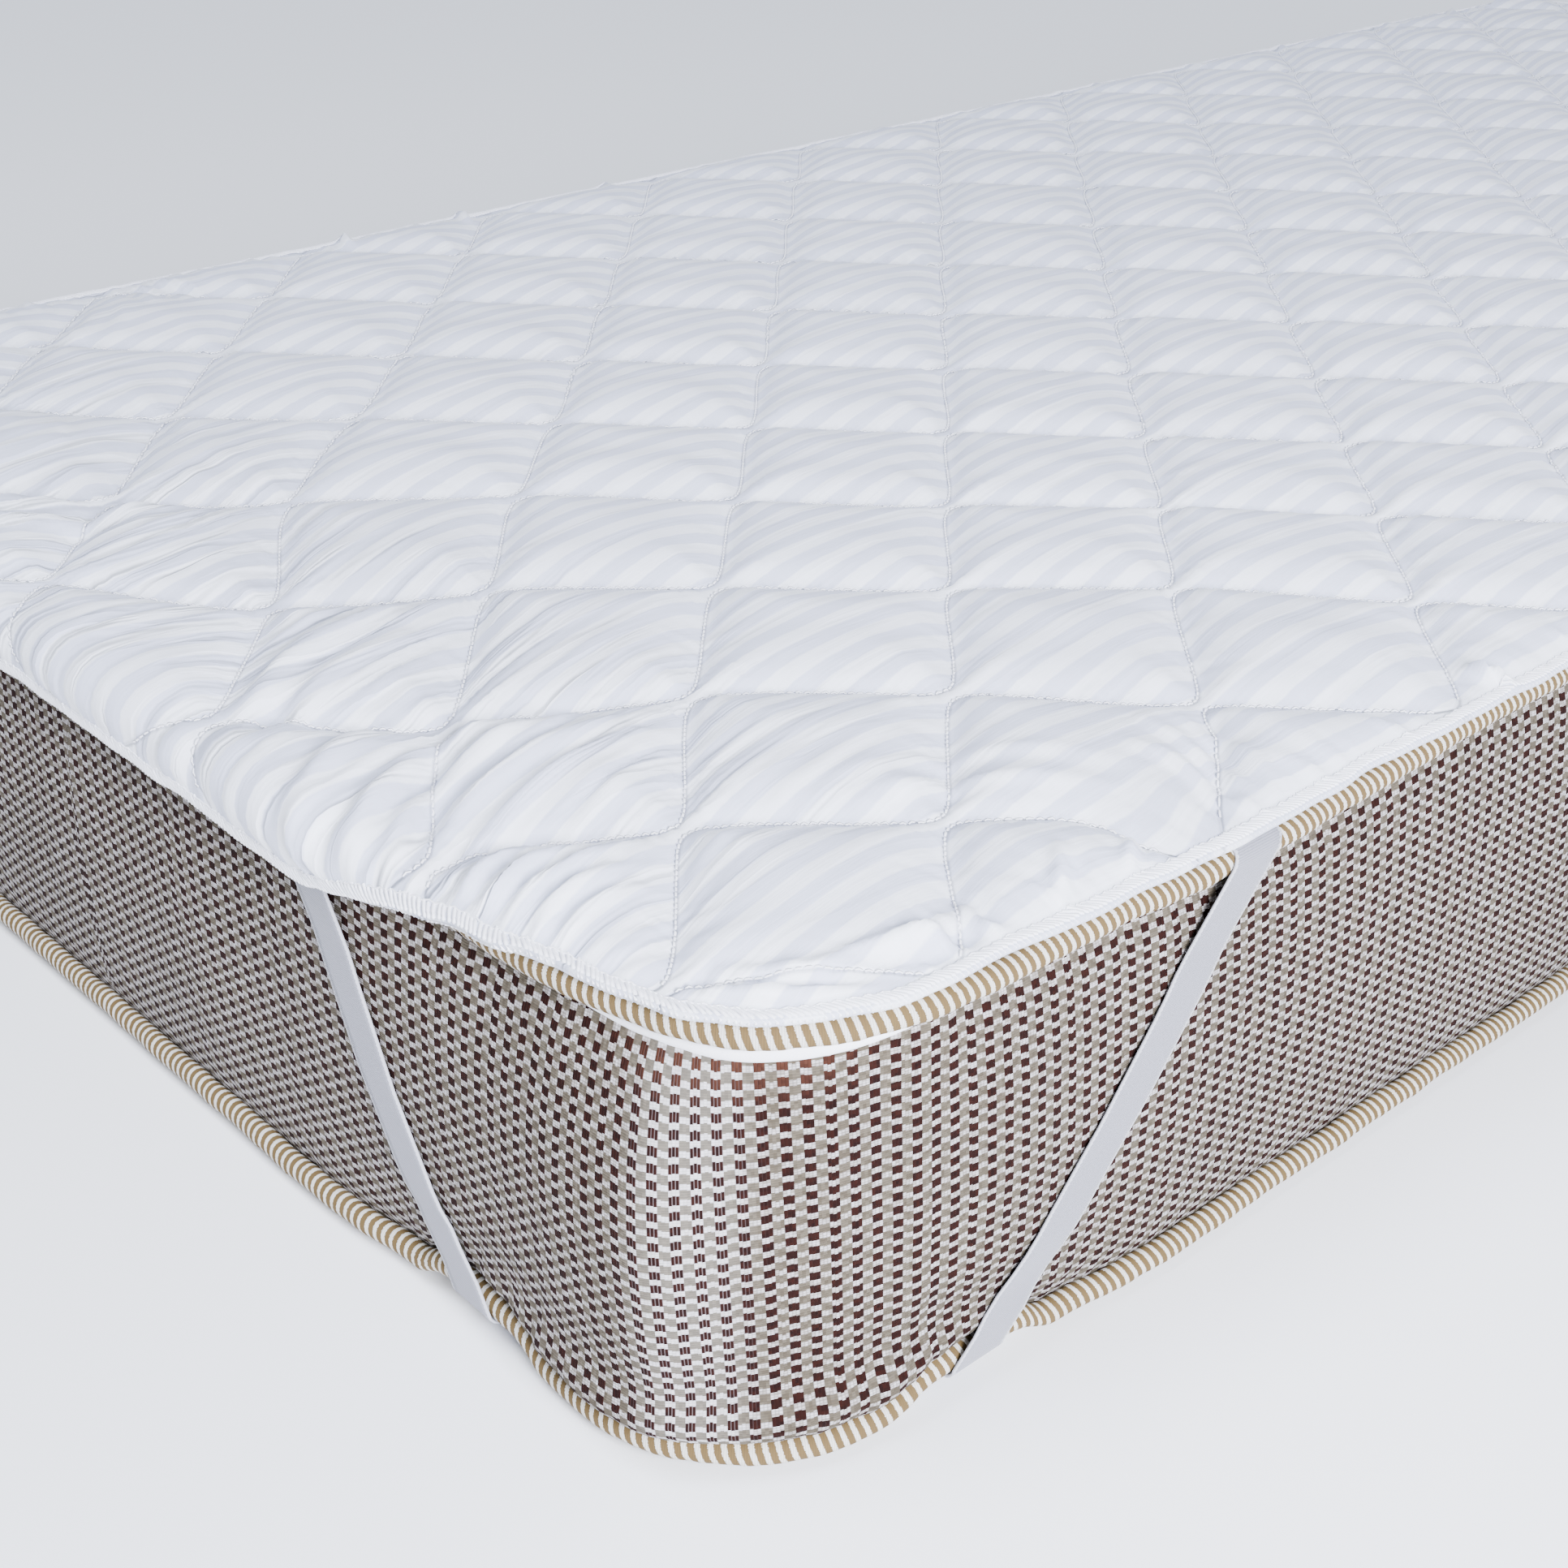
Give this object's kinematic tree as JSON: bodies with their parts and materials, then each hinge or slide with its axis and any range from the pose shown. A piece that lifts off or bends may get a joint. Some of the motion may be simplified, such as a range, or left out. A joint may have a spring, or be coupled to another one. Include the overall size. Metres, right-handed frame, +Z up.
{
  "type": "mattress protector on a mattress",
  "caption": "Quilted mattress protector with an overlocked hem, held on a single mattress by an elastic strap that runs down and under each corner.",
  "frame": {"origin": "centre of the overall box, on the surface that the mattress lies on", "axes": "+X along the mattress, +Y across it, +Z up out of the quilted face"},
  "size_m": [1.9334, 0.922, 0.2182],
  "materials": {
    "border_cloth": "woven check of brown, grey and off-white squares",
    "piping_cloth": "striped tan and cream cloth over a cord",
    "pad_cloth": "white satin-striped cloth, quilted",
    "elastic": "ribbed white elastic"
  },
  "bodies": {
    "root": {"mattress": "border_cloth", "piping_top": "piping_cloth", "piping_bottom": "piping_cloth", "protector_pad": "pad_cloth", "corner_strap_1": "elastic", "corner_strap_2": "elastic", "corner_strap_3": "elastic", "corner_strap_4": "elastic"}
  },
  "joints": []
}
